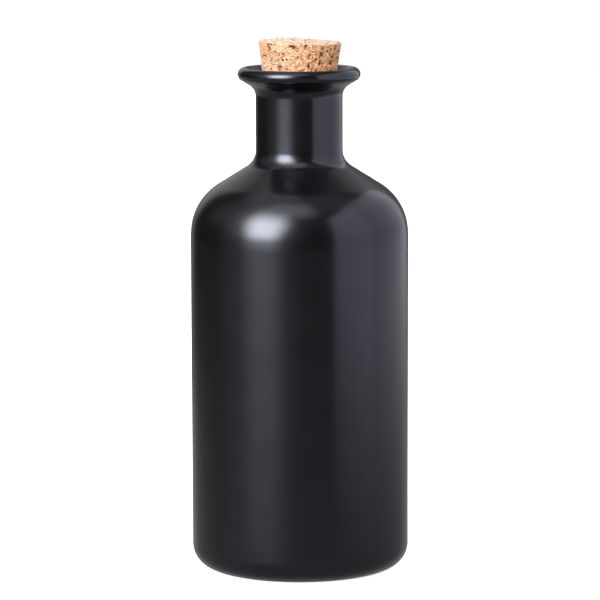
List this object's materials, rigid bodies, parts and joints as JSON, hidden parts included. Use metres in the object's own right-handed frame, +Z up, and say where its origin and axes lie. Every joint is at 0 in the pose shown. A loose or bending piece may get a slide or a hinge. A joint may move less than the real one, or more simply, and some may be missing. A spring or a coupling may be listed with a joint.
{
  "type": "porcelain storage bottle",
  "caption": "Round black satin-glazed porcelain bottle with a sloping shoulder, short neck and flared, rolled lip, shut with a tapered cork.",
  "frame": {"origin": "centre of the foot, on the surface that the bottle stands on", "axes": "+Z up along the bottle's axis, from the foot to the mouth; the cork leans towards +X"},
  "size_m": [0.1004, 0.1004, 0.2447],
  "materials": {
    "glaze": "satin",
    "cork": "matte"
  },
  "bodies": {
    "root": {"bottle": "glaze", "cork": "cork"}
  },
  "joints": []
}
